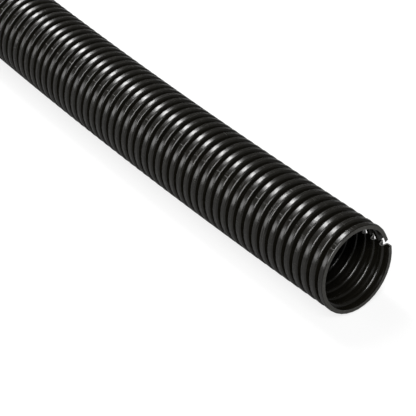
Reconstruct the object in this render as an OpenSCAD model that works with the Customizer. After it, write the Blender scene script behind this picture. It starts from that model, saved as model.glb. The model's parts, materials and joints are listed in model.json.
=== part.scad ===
// Slit corrugated conduit, nominal width 29: one moulded length of thin-walled
// tube with ring-shaped corrugations and one slit from end to end, so that
// cables can be laid in from the side. It lies along X and rests on its crests.

/* [Tube] */
// Outside diameter over the crests
outside_d = 34.5; // [20:0.5:60]
// Length of the piece
tube_length = 1000; // [50:10:1000]
// Thickness of the wall
wall = 0.6; // [0.3:0.05:0.8]

/* [Corrugation] */
// Depth of the wave, from the outside of the crests in to the bore
wave_depth = 2.75; // [1.6:0.05:4]
// Distance from one crest to the next
pitch = 4.5; // [4:0.1:8]
// Outside width of a crest, halfway up its flanks
crest_width = 2.9; // [2.4:0.1:3.4]
// Slope of the flanks, measured from the tube's axis
flank_angle = 78; // [70:1:88]
// Bevel radius on the outside of each fold in the wall
fold_r = 0.8; // [0.3:0.05:1.1]
// How far past the middle of a crest the +X end is cut
cut_past_crest = 1.15; // [0:0.05:2.5]

/* [Slit] */
// Gap between the slit's two lips, measured across the crests
slit_gap = 0.5; // [0.2:0.1:8]
// How far the slit is turned from the top of the tube towards +Y
slit_turn = 64; // [0:1:180]

/* [Hidden] */

// Straight steps in the bevel of a fold
fold_steps = 1;
// Steps around the tube
$fn = 72;

outside_r = outside_d / 2;
bore_r = outside_r - wave_depth;
half_wall = wall / 2;

// The wave is drawn along the middle of the wall, and the wall is half to each
// side of it.
valley_mid_r = bore_r + half_wall;
crest_mid_r = outside_r - half_wall;
flank_run = (crest_mid_r - valley_mid_r) / tan(flank_angle);
halfway_width = crest_width - wall / sin(flank_angle);
crest_top = halfway_width - flank_run;
crest_foot = halfway_width + flank_run;

// The tube is cut square from a longer one, wherever the length falls on the
// wave. The wave is drawn one crest too far at both ends, from +X to -X, and
// cut back.
end_x = tube_length / 2;
first_crest_x = end_x - cut_past_crest + pitch;
crests = ceil((first_crest_x + end_x) / pitch) + 2;

slit_angle = 2 * asin(slit_gap / 2 / outside_r);
slit_middle = 90 - slit_turn;

// A bend in the wave is [along the tube, out from its axis, slope before it,
// slope after it]. These are the four bends of a crest centred on x.
function crest_bends(x) = [
    [x - crest_foot / 2, valley_mid_r, 0, flank_angle],
    [x - crest_top / 2, crest_mid_r, flank_angle, 0],
    [x + crest_top / 2, crest_mid_r, 0, -flank_angle],
    [x + crest_foot / 2, valley_mid_r, -flank_angle, 0]
];

wave_bends = [for (i = [crests - 1:-1:0]) each crest_bends(first_crest_x - i * pitch)];

// Corner of the line that runs beside a bend, at a distance out from the wave
function corner_beside(bend, distance) =
    let (middle = (bend[2] + bend[3]) / 2, reach = distance / cos((bend[3] - bend[2]) / 2))
        [bend[0] - reach * sin(middle), bend[1] + reach * cos(middle)];

// The same corner, bevelled along the arc that touches both its sides
function bevelled(bend, distance) =
    let (
        corner = corner_beside(bend, distance),
        turn = bend[3] - bend[2],
        hand = sign(turn),
        setback = fold_r * tan(abs(turn) / 2),
        centre = [
            corner[0] - setback * cos(bend[2]) - hand * fold_r * sin(bend[2]),
            corner[1] - setback * sin(bend[2]) + hand * fold_r * cos(bend[2])
        ]
    ) [
        for (step = [0:fold_steps])
            let (slope = bend[2] + turn * step / fold_steps)
                [centre[0] + hand * fold_r * sin(slope), centre[1] - hand * fold_r * cos(slope)]
    ];

// One face of the wall. A fold is bevelled on the side that it stands out from,
// and sharp on the side that it folds in on.
function wall_line(distance) = [
    for (bend = wave_bends)
        each (bend[3] - bend[2]) * distance < 0 ? bevelled(bend, distance)
            : [corner_beside(bend, distance)]
];

// A line cut off square at both ends of the tube
function cut_to_length(line) = [
    [-end_x, lookup(-end_x, line)],
    for (point = line) if (abs(point[0]) < end_x) point,
    [end_x, lookup(end_x, line)]
];

function reversed(list) = [for (i = [len(list) - 1:-1:0]) list[i]];

// Section of the wall: out from the axis along x, along the tube along y
module wall_section() {
    outline = concat(
        cut_to_length(wall_line(half_wall)),
        reversed(cut_to_length(wall_line(-half_wall)))
    );
    polygon([for (point = outline) [point[1], point[0]]]);
}

// The section turned about the tube's axis, all the way round but for the slit
module conduit() {
    color("#1c1b1a")
        translate([0, 0, outside_r])
            rotate([90, 0, 90])
                rotate_extrude(start = slit_middle + slit_angle / 2, angle = 360 - slit_angle)
                    wall_section();
}

conduit();
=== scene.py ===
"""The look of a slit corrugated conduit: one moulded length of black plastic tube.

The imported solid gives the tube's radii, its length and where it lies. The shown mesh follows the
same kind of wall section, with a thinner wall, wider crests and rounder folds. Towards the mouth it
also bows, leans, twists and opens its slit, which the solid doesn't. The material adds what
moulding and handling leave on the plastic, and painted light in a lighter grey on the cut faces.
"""

import json
import math

import bpy
import numpy as np
from mathutils import Matrix, Vector


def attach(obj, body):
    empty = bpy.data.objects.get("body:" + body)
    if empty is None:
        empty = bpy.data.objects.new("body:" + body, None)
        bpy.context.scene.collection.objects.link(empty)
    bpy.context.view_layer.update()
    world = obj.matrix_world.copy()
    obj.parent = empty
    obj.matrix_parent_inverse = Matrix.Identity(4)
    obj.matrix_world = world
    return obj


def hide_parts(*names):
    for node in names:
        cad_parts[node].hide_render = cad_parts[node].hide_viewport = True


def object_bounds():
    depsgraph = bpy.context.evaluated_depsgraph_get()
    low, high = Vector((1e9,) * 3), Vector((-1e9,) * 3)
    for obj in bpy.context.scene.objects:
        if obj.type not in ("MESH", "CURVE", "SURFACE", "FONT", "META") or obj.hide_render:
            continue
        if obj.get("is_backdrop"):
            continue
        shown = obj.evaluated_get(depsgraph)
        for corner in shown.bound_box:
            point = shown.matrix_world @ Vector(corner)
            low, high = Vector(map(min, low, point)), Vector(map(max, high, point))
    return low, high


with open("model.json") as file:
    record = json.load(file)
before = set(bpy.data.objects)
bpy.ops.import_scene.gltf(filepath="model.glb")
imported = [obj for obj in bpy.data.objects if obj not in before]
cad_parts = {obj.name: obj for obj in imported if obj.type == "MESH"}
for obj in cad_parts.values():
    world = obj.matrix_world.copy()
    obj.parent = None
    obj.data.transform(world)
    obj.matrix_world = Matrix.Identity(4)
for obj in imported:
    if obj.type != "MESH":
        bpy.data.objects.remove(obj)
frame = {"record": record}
frame_low, frame_high = (list(corner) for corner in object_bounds())

MM = 0.001

# ---------------------------------------------------------------- the tube's sizes

mounts = {mount["name"]: mount for mount in frame["record"]["mounts"]}
TUBE_LENGTH = frame_high[0] - frame_low[0]
BORE_R = mounts["bore"]["dims"]["r_mm"] * MM
OUTSIDE_R = mounts["clip_seat"]["dims"]["r_mm"] * MM
AXIS_HEIGHT = mounts["bore"]["pos_m"][2]

# The wall is thinner and the crests are wider than the solid's
WALL = 0.5 * MM
PITCH = 4.5 * MM
CREST_WIDTH = 3.2 * MM
FLANK_ANGLE = math.radians(78)
# Radius of the folds on the outside of the crests, and inside on the ridges under the valleys
CREST_FOLD_R = 0.85 * MM
RIDGE_FOLD_R = 1.05 * MM
# How far past the middle of a crest the mouth is cut
CUT_PAST_CREST = 1.15 * MM

# How far the slit is turned from the top of the tube towards +Y
SLIT_TURN = math.radians(64)
SLIT_GAP = 0.5 * MM
# The slit twists on by this much towards the mouth, over this length of the tube
MOUTH_TWIST = math.radians(11.5)
MOUTH_TWIST_RUN = 300 * MM
# The lips spring apart at the mouth, to this gap, over this length of the tube
MOUTH_GAP = 4.0 * MM
MOUTH_SPRING = 60 * MM
# The upper lip curls inwards at the mouth, by this much at its edge, over this turn and length
LIP_CURL = 0.9 * MM
LIP_CURL_TURN = math.radians(32)
LIP_CURL_RUN = 35 * MM

# The stretch towards the mouth bows off the straight by this much, up and to +Y
BOW_Y = 0.75 * MM
BOW_Z = 0.45 * MM
BOW_HALF = 110 * MM
BOW_FADE = 50 * MM

# The rings lean back towards the mouth: how far they run back along the tube for each metre towards
# +Y and upwards, and the length of tube over which that falls to about a third
LEAN_Y = 0.045
LEAN_Z = 0.081
LEAN_FADE = 200 * MM

STEPS_AROUND = 36
# Steps in a fold, by how far it lies from the nearer end: (within this distance, outside, inside)
FOLD_STEPS = ((60 * MM, 3, 3), (160 * MM, 2, 1), (TUBE_LENGTH, 1, 0))


# ---------------------------------------------------------------- the wall section

HALF_WALL = WALL / 2
VALLEY_MID_R = BORE_R + HALF_WALL
CREST_MID_R = OUTSIDE_R - HALF_WALL
FLANK_RUN = (CREST_MID_R - VALLEY_MID_R) / math.tan(FLANK_ANGLE)
HALFWAY_WIDTH = CREST_WIDTH - WALL / math.sin(FLANK_ANGLE)
CREST_TOP = HALFWAY_WIDTH - FLANK_RUN
CREST_FOOT = HALFWAY_WIDTH + FLANK_RUN
END_X = TUBE_LENGTH / 2
FIRST_CREST_X = END_X - CUT_PAST_CREST + PITCH
CRESTS = math.ceil((FIRST_CREST_X + END_X) / PITCH) + 2


def wave_bends():
    """Every bend of the wave at mid-wall: (along, out from the axis, slope before, slope after)."""
    bends = []
    for i in reversed(range(CRESTS)):
        x = FIRST_CREST_X - i * PITCH
        bends += [
            (x - CREST_FOOT / 2, VALLEY_MID_R, 0.0, FLANK_ANGLE),
            (x - CREST_TOP / 2, CREST_MID_R, FLANK_ANGLE, 0.0),
            (x + CREST_TOP / 2, CREST_MID_R, 0.0, -FLANK_ANGLE),
            (x + CREST_FOOT / 2, VALLEY_MID_R, -FLANK_ANGLE, 0.0),
        ]
    return bends


def fold_steps(x, side):
    """How many straight steps round off a fold at x, on the outside (side 1) or the inside (-1)."""
    from_end = END_X - abs(x)
    _, outside, inside = next(row for row in FOLD_STEPS if from_end < row[0])
    return outside if side > 0 else inside


def fold_points(bend, side):
    """Points of one face of the wall at a bend: (along, out, slope before, slope after).

    side is 1 outside and -1 inside. A fold is round where it stands out, and sharp where it folds in.
    """
    x, out, before, after = bend
    turn = after - before
    middle = (before + after) / 2
    reach = side * HALF_WALL / math.cos(turn / 2)
    corner_x = x - reach * math.sin(middle)
    corner_out = out + reach * math.cos(middle)
    steps = fold_steps(x, side)
    if turn * side > 0 or steps == 0:
        return [(corner_x, corner_out, before, after)]
    hand = math.copysign(1, turn)
    radius = CREST_FOLD_R if side > 0 else RIDGE_FOLD_R
    setback = radius * math.tan(abs(turn) / 2)
    centre_x = corner_x - setback * math.cos(before) - hand * radius * math.sin(before)
    centre_out = corner_out - setback * math.sin(before) + hand * radius * math.cos(before)
    points = []
    for step in range(steps + 1):
        slope = before + turn * step / steps
        points.append((
            centre_x + hand * radius * math.sin(slope),
            centre_out - hand * radius * math.cos(slope),
            slope,
            slope,
        ))
    return points


def cut_off(line):
    """A line of section points that runs towards +X, cut off square at the +X end of the tube."""
    kept = [point for point in line if point[0] < END_X]
    here, ahead = kept[-1], line[len(kept)]
    share = (END_X - here[0]) / (ahead[0] - here[0])
    slope = here[3] + (ahead[2] - here[3]) * share
    return kept + [(END_X, here[1] + (ahead[1] - here[1]) * share, slope, slope)]


def reversed_line(line):
    """The same line seen from the other end of the tube."""
    return [(-x, out, -after, -before) for x, out, before, after in reversed(line)]


# ---------------------------------------------------------------- the mesh


def smooth(value, low, high):
    """0 below low and 1 above high, with an even rise between."""
    share = min(max((value - low) / (high - low), 0.0), 1.0)
    return share * share * (3 - 2 * share)


def slit_half_angle(along):
    """Half the angle that the slit takes up. It widens towards the mouth."""
    spring = smooth(along, END_X - MOUTH_SPRING, END_X)
    return math.asin((SLIT_GAP + (MOUTH_GAP - SLIT_GAP) * spring) / 2 / OUTSIDE_R)


def turned_angle(along, share):
    """Where a share of the way round from the slit's upper lip lies, from the top towards +Y."""
    half_gap = slit_half_angle(along)
    twist = MOUTH_TWIST * smooth(along, END_X - MOUTH_TWIST_RUN, END_X)
    return SLIT_TURN + twist - half_gap - share * (2 * math.pi - 2 * half_gap)


def lip_curl(along, share):
    """How far the upper lip stands in from the round."""
    from_lip = share * 2 * math.pi
    near_lip = 1 - smooth(from_lip, 0, LIP_CURL_TURN)
    return LIP_CURL * near_lip * smooth(along, END_X - LIP_CURL_RUN, END_X)


def bow(along):
    """(bowed, fade) at a place. bowed is 1 at both ends of the bowed stretch and -1 at its middle,
    and fade is 1 on the stretch and falls to 0 beyond it, where bowed falls with it."""
    from_middle = (END_X - along - BOW_HALF) / BOW_HALF
    fade = 1 - smooth(END_X - along, 2 * BOW_HALF, 2 * BOW_HALF + BOW_FADE)
    return (2 * from_middle ** 2 - 1) * fade, fade


def lean(along):
    """How far the rings lean at a place, towards +Y and upwards."""
    left = math.exp((along - END_X) / LEAN_FADE)
    return LEAN_Y * left, LEAN_Z * left


def turned_point(along, out, share):
    """A place on the tube in the frame."""
    angle = turned_angle(along, share)
    shown_out = out - lip_curl(along, share)
    y, z = shown_out * math.sin(angle), shown_out * math.cos(angle)
    lean_y, lean_z = lean(along)
    bowed, fade = bow(along)
    return (
        along - lean_y * y - lean_z * z,
        y + BOW_Y * bowed,
        AXIS_HEIGHT + z + BOW_Z * (bowed + fade),
    )


def wall_normal(along, slope, side, share):
    """The wall's own normal, so that a fold looks rounder than its facets."""
    angle = turned_angle(along, share)
    out = side * math.cos(slope)
    ahead = -side * math.sin(slope)
    lean_y, lean_z = lean(along)
    return (ahead, out * math.sin(angle) + lean_y * ahead, out * math.cos(angle) + lean_z * ahead)


def zipped(first, second):
    """Triangles between two lines of (number, along), both running from -X to +X."""
    triangles = []
    i = j = 0
    while i < len(first) - 1 or j < len(second) - 1:
        can_first = i < len(first) - 1
        can_second = j < len(second) - 1
        if can_first and (not can_second or first[i + 1][1] <= second[j + 1][1]):
            triangles.append((first[i][0], first[i + 1][0], second[j][0]))
            i += 1
        else:
            triangles.append((first[i][0], second[j + 1][0], second[j][0]))
            j += 1
    return triangles


def tube_mesh(name):
    """The wall section turned about the axis from the slit's upper lip round to its lower lip."""
    lines = {side: [p for bend in wave_bends() for p in fold_points(bend, side)] for side in (1, -1)}
    for side in lines:
        lines[side] = reversed_line(cut_off(reversed_line(cut_off(lines[side]))))

    verts = []
    normal_of = []
    place_of = []
    columns = []
    for j in range(STEPS_AROUND + 1):
        share = j / STEPS_AROUND
        column = {}
        for side, line in lines.items():
            column[side] = [(len(verts) + k, point[0]) for k, point in enumerate(line)]
            verts += [turned_point(point[0], point[1], share) for point in line]
            normal_of += [
                [wall_normal(point[0], slope, side, share) for slope in point[2:]] for point in line]
            place_of += [
                (point[0], turned_angle(point[0], share) * OUTSIDE_R, point[1]) for point in line]
        columns.append(column)

    faces = []
    normals = []
    places = []
    cut = []

    def add(face, normal=None):
        faces.append(face)
        start = min(place_of[i][0] for i in face)
        normals.extend(normal or normal_of[i][0 if place_of[i][0] > start else 1] for i in face)
        places.extend(place_of[i] for i in face)
        cut.extend([1.0 if normal else 0.0] * len(face))

    cut_normal = tuple(Vector((1, LEAN_Y, LEAN_Z)).normalized())
    for this, after in zip(columns, columns[1:]):
        for face in zipped(this[1], after[1]):
            add(face[::-1])
        for face in zipped(this[-1], after[-1]):
            add(face)
        add((this[1][0][0], after[1][0][0], after[-1][0][0], this[-1][0][0])[::-1], (-1, 0, 0))
        add((this[1][-1][0], after[1][-1][0], after[-1][-1][0], this[-1][-1][0]), cut_normal)
    for column, share, hand in ((columns[0], 0.0, 1), (columns[-1], 1.0, -1)):
        angle = turned_angle(END_X, share)
        normal = (0, hand * math.cos(angle), -hand * math.sin(angle))
        for face in zipped(column[1], column[-1]):
            add(face if hand > 0 else face[::-1], normal)

    mesh = bpy.data.meshes.new(name)
    mesh.from_pydata(verts, [], faces)
    mesh.polygons.foreach_set("use_smooth", [True] * len(faces))
    mesh.normals_split_custom_set(normals)
    # What the material goes by: the place along the tube, round it and out from its axis, and
    # whether a face was cut
    mesh.attributes.new("place", "FLOAT_VECTOR", "CORNER").data.foreach_set(
        "vector", np.array(places, dtype=np.float32).ravel())
    mesh.attributes.new("cut", "FLOAT", "CORNER").data.foreach_set(
        "value", np.array(cut, dtype=np.float32))
    mesh.update()
    return mesh


# ---------------------------------------------------------------- materials

# Where the mould's two halves met, from the top towards +Y
PARTING_TURNS = (math.radians(-40), math.radians(-220))
# One place where a block of the mould ends, and the rings from there to the next
BLOCK_LINE_X = FIRST_CREST_X - 8 * PITCH
BLOCK_RINGS = 18

# Plastic colours, linear: in its darker and lighter blotches, where it is worn, on a mould line; and
# the painted light given to the cut faces, in its dimmer and brighter places
DARK_BLOTCH = (0.0055, 0.0049, 0.0034, 1)
LIGHT_BLOTCH = (0.0100, 0.0090, 0.0062, 1)
WORN = (0.045, 0.043, 0.038, 1)
MOULD_LINE = (0.06, 0.058, 0.054, 1)
CUT_PAINTED_LIGHT_DIM = (0.030, 0.029, 0.025, 1)
CUT_PAINTED_LIGHT_BRIGHT = (0.100, 0.097, 0.088, 1)

# Roughness of the smoothest plastic, and what each of these adds to it
SMOOTHEST = 0.15
BLOTCH_ROUGHNESS = 0.10
RING_ROUGHNESS = 0.10
WORN_ROUGHNESS = 0.15
CUT_ROUGHNESS = 0.3

# Height of the relief, in the bump's own distance
GRAIN_RELIEF = 0.030
WAVE_RELIEF = 0.080
WORN_RELIEF = -0.02
MOULD_RELIEF = 0.09

PLASTIC_IOR = 1.49
PLASTIC_SPECULAR = 0.7

# Grey of the lit floor, and what the camera sees on top of it
FLOOR_GREY = 0.28
FLOOR_GLOW = 0.78


class Nodes:
    """A material's node tree, with short calls for the nodes that this script uses."""

    def __init__(self, name):
        self.material = bpy.data.materials.new(name)
        self.material.use_nodes = True
        self.tree = self.material.node_tree
        self.tree.nodes.clear()
        self.output = self.tree.nodes.new("ShaderNodeOutputMaterial")

    def put(self, socket, value):
        if isinstance(value, bpy.types.NodeSocket):
            self.tree.links.new(value, socket)
        else:
            socket.default_value = value

    def add(self, kind, inputs=None, **settings):
        node = self.tree.nodes.new(kind)
        for key, value in settings.items():
            setattr(node, key, value)
        for key, value in (inputs or {}).items():
            self.put(node.inputs[key], value)
        return node

    def math(self, operation, *values):
        node = self.add("ShaderNodeMath", operation=operation)
        for socket, value in zip(node.inputs, values):
            self.put(socket, value)
        return node.outputs[0]

    def span(self, value, low, high, to_low=0.0, to_high=1.0):
        """value from low to high mapped smoothly to to_low to to_high, and held outside."""
        node = self.add("ShaderNodeMapRange", interpolation_type="SMOOTHSTEP")
        for key, number in zip(("Value", "From Min", "From Max", "To Min", "To Max"),
                               (value, low, high, to_low, to_high)):
            self.put(node.inputs[key], number)
        return node.outputs["Result"]

    def noise(self, vector, scale, detail=2.0, roughness=0.5):
        node = self.add("ShaderNodeTexNoise", {"Vector": vector, "Scale": scale, "Detail": detail,
                                               "Roughness": roughness})
        return node.outputs["Fac"]

    def combine(self, x, y, z):
        return self.add("ShaderNodeCombineXYZ", {"X": x, "Y": y, "Z": z}).outputs[0]

    def mix(self, factor, first, second):
        """A colour mix. Mix has sockets for each type, and those of a colour are 6, 7 and output 2."""
        node = self.add("ShaderNodeMix", data_type="RGBA")
        self.put(node.inputs[0], factor)
        self.put(node.inputs[6], first)
        self.put(node.inputs[7], second)
        return node.outputs[2]


def black_plastic():
    """Moulded black polypropylene: satin, with mould lines, a fine grain and the scuffs of handling."""
    n = Nodes("black_plastic")
    place = n.add("ShaderNodeSeparateXYZ", {
        0: n.add("ShaderNodeAttribute", attribute_name="place").outputs["Vector"]})
    x, around, out = (place.outputs[axis] for axis in "XYZ")
    cut = n.add("ShaderNodeAttribute", attribute_name="cut").outputs["Fac"]
    on_crest = n.span(out, OUTSIDE_R - 0.35 * MM, OUTSIDE_R - 0.05 * MM)

    def field(scale_x, scale_around, shift, detail=2.0):
        """Noise with its own scale along the tube and round it, in cells to the metre."""
        return n.noise(n.combine(n.math("MULTIPLY", x, scale_x),
                                 n.math("MULTIPLY", around, scale_around), shift), 1.0, detail)

    def line(value, middle, half_width):
        """1 on a line where value is at its middle, and 0 away from it."""
        away = n.math("ABSOLUTE", n.math("SUBTRACT", value, middle))
        return n.span(away, half_width * 0.4, half_width, 1.0, 0.0)

    # Blotches from the cooling mould, and each ring a little glossier or duller than the next
    blotch = field(320.0, 180.0, 1.0, 3.0)
    ring = n.noise(n.combine(n.math("MULTIPLY", x, 1 / PITCH), 0.0, 0.0), 0.9, 0.0)

    # Fine scuffs run round the crests, and short scratches run across them
    scuff = n.span(field(2400.0, 240.0, 3.0, 3.0), 0.55, 0.72)
    scratch = n.span(field(160.0, 2600.0, 8.0), 0.64, 0.74)
    worn = n.math("MULTIPLY", on_crest, n.math("MAXIMUM", n.math("MULTIPLY", scuff, 0.45),
                                               n.math("MULTIPLY", scratch, 0.8)))

    # The mould's two halves leave a broken line along the tube at either side, and twin lines run
    # round a ring where one block of the mould ends
    halves = n.math("MAXIMUM", *(line(around, turn * OUTSIDE_R, 0.16 * MM) for turn in PARTING_TURNS))
    halves = n.math("MULTIPLY", halves, n.span(field(180.0, 30.0, 5.0), 0.42, 0.56))
    block = n.math("PINGPONG", n.math("SUBTRACT", x, BLOCK_LINE_X),
                   BLOCK_RINGS / 2 * PITCH)
    twins = n.math("MULTIPLY", line(block, 0.5 * MM, 0.17 * MM), on_crest)
    mould = n.math("MULTIPLY", n.math("MAXIMUM", halves, twins), on_crest)

    color = n.mix(blotch, DARK_BLOTCH, LIGHT_BLOTCH)
    color = n.mix(worn, color, WORN)
    color = n.mix(n.math("MULTIPLY", mould, 0.7), color, MOULD_LINE)
    # The cut faces get a much lighter grey than the plastic: painted light for the light the cut faces
    # catch, varied at random by noise
    painted_cut_light = n.mix(field(900.0, 900.0, 17.0), CUT_PAINTED_LIGHT_DIM, CUT_PAINTED_LIGHT_BRIGHT)
    color = n.mix(cut, color, painted_cut_light)
    roughness = SMOOTHEST
    for part, rise in ((blotch, BLOTCH_ROUGHNESS), (ring, RING_ROUGHNESS), (worn, WORN_ROUGHNESS),
                       (cut, CUT_ROUGHNESS)):
        roughness = n.math("ADD", roughness, n.math("MULTIPLY", part, rise))

    grain = field(1500.0, 900.0, 11.0)
    waves = field(260.0, 420.0, 14.0)
    height = n.math("MULTIPLY", grain, GRAIN_RELIEF)
    for part, rise in ((waves, WAVE_RELIEF), (worn, WORN_RELIEF), (mould, MOULD_RELIEF)):
        height = n.math("ADD", height, n.math("MULTIPLY", part, rise))
    bump = n.add("ShaderNodeBump", {"Strength": 0.6, "Distance": 1 * MM, "Height": height})
    shader = n.add("ShaderNodeBsdfPrincipled", {"Base Color": color, "Roughness": roughness,
                                                "Normal": bump.outputs[0]})
    shader.inputs["IOR"].default_value = PLASTIC_IOR
    shader.inputs["Specular IOR Level"].default_value = PLASTIC_SPECULAR
    n.put(n.output.inputs["Surface"], shader.outputs[0])
    return n.material


def white_floor():
    """A plain white floor. The camera sees it lighter than it is lit, with a faint shadow."""
    n = Nodes("white_floor")
    lit = n.add("ShaderNodeBsdfDiffuse", {"Color": (FLOOR_GREY, FLOOR_GREY, FLOOR_GREY, 1)})
    glow = n.add("ShaderNodeEmission", {"Color": (1, 1, 1, 1), "Strength": FLOOR_GLOW})
    both = n.add("ShaderNodeAddShader", {0: lit.outputs[0], 1: glow.outputs[0]})
    seen = n.add("ShaderNodeLightPath").outputs["Is Camera Ray"]
    surface = n.add("ShaderNodeMixShader", {0: seen, 1: lit.outputs[0], 2: both.outputs[0]})
    n.put(n.output.inputs["Surface"], surface.outputs[0])
    return n.material


# ---------------------------------------------------------------- the piece

conduit_mesh = tube_mesh("conduit_body")
conduit = bpy.data.objects.new("conduit_body", conduit_mesh)
bpy.context.collection.objects.link(conduit)
conduit_mesh.materials.append(black_plastic())
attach(conduit, "root")
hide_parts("conduit")

# ---------------------------------------------------------------- floor, world and lights

FLOOR_HALF = 6.0
# Strength of the world's light, on the object and as the camera sees it
WORLD_ON_OBJECT = 0.10
WORLD_SEEN = 1.0

floor_mesh = bpy.data.meshes.new("floor")
floor_mesh.from_pydata(
    [(-FLOOR_HALF, -FLOOR_HALF, 0), (FLOOR_HALF, -FLOOR_HALF, 0),
     (FLOOR_HALF, FLOOR_HALF, 0), (-FLOOR_HALF, FLOOR_HALF, 0)], [], [(0, 1, 2, 3)])
floor_mesh.materials.append(white_floor())
floor = bpy.data.objects.new("floor", floor_mesh)
bpy.context.collection.objects.link(floor)
floor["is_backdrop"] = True


def studio_world():
    """White to the camera, and a dim even light on the object."""
    world = bpy.data.worlds.new("studio")
    bpy.context.scene.world = world
    world.use_nodes = True
    nodes, links = world.node_tree.nodes, world.node_tree.links
    nodes.clear()
    path = nodes.new("ShaderNodeLightPath")
    background = nodes.new("ShaderNodeBackground")
    strength = nodes.new("ShaderNodeMapRange")
    links.new(path.outputs["Is Camera Ray"], strength.inputs["Value"])
    strength.inputs["To Min"].default_value = WORLD_ON_OBJECT
    strength.inputs["To Max"].default_value = WORLD_SEEN
    links.new(strength.outputs["Result"], background.inputs["Strength"])
    background.inputs["Color"].default_value = (1, 1, 1, 1)
    output = nodes.new("ShaderNodeOutputWorld")
    links.new(background.outputs[0], output.inputs["Surface"])


# The lamps aim at the middle of the stretch in view
LIT_POINT = Vector((0.38, 0, AXIS_HEIGHT))
LAMP_DISTANCE = 1.6


def softbox(name, towards, size, power, long_way):
    """An area lamp in a direction from the lit point.

    size is (long, short) in metres, power is in watts, and the long side lies as near as it can to
    long_way.
    """
    data = bpy.data.lights.new(name, "AREA")
    data.shape = "RECTANGLE"
    data.size, data.size_y = size
    data.energy = power
    lamp = bpy.data.objects.new(name, data)
    bpy.context.collection.objects.link(lamp)
    back = Vector(towards).normalized()
    across = Vector(long_way)
    across = (across - back * across.dot(back)).normalized()
    lamp.matrix_world = Matrix((across, back.cross(across), back)).transposed().to_4x4()
    lamp.location = LIT_POINT + back * LAMP_DISTANCE


studio_world()
# The key and its softer edge shine from above the far end, camera_side comes from above the camera,
# and low_fill from low down on the -Y side
softbox("key", (-0.637, 0.058, 0.769), (1.0, 0.32), 15.5, (1, -0.25, 0))
softbox("key_edge", (-0.637, 0.058, 0.769), (1.3, 0.75), 4.5, (1, -0.25, 0))
softbox("camera_side", (0.50, -0.52, 0.69), (1.4, 0.32), 20.0, (0, 1, 0))
softbox("low_fill", (-0.60, -0.76, 0.25), (0.8, 0.5), 4.0, (1, 0, 0))

# ---------------------------------------------------------------- camera

CAMERA_AZIMUTH = math.radians(52.66)
CAMERA_ELEVATION = math.radians(35.31)
CAMERA_DISTANCE = 0.64404
CAMERA_LENS = 150.01
CAMERA_SENSOR = 36.0
CAMERA_AIM = Vector((0.43695, -0.01752, AXIS_HEIGHT))

camera_data = bpy.data.cameras.new("camera")
camera_data.lens = CAMERA_LENS
camera_data.sensor_width = CAMERA_SENSOR
camera = bpy.data.objects.new("camera", camera_data)
bpy.context.collection.objects.link(camera)
back = Vector((
    math.sin(CAMERA_AZIMUTH) * math.cos(CAMERA_ELEVATION),
    -math.cos(CAMERA_AZIMUTH) * math.cos(CAMERA_ELEVATION),
    math.sin(CAMERA_ELEVATION),
))
camera.location = CAMERA_AIM + back * CAMERA_DISTANCE
camera.rotation_mode = "QUATERNION"
camera.rotation_quaternion = (-back).to_track_quat("-Z", "Y")
bpy.context.scene.camera = camera
bpy.context.scene.view_settings.view_transform = "Standard"
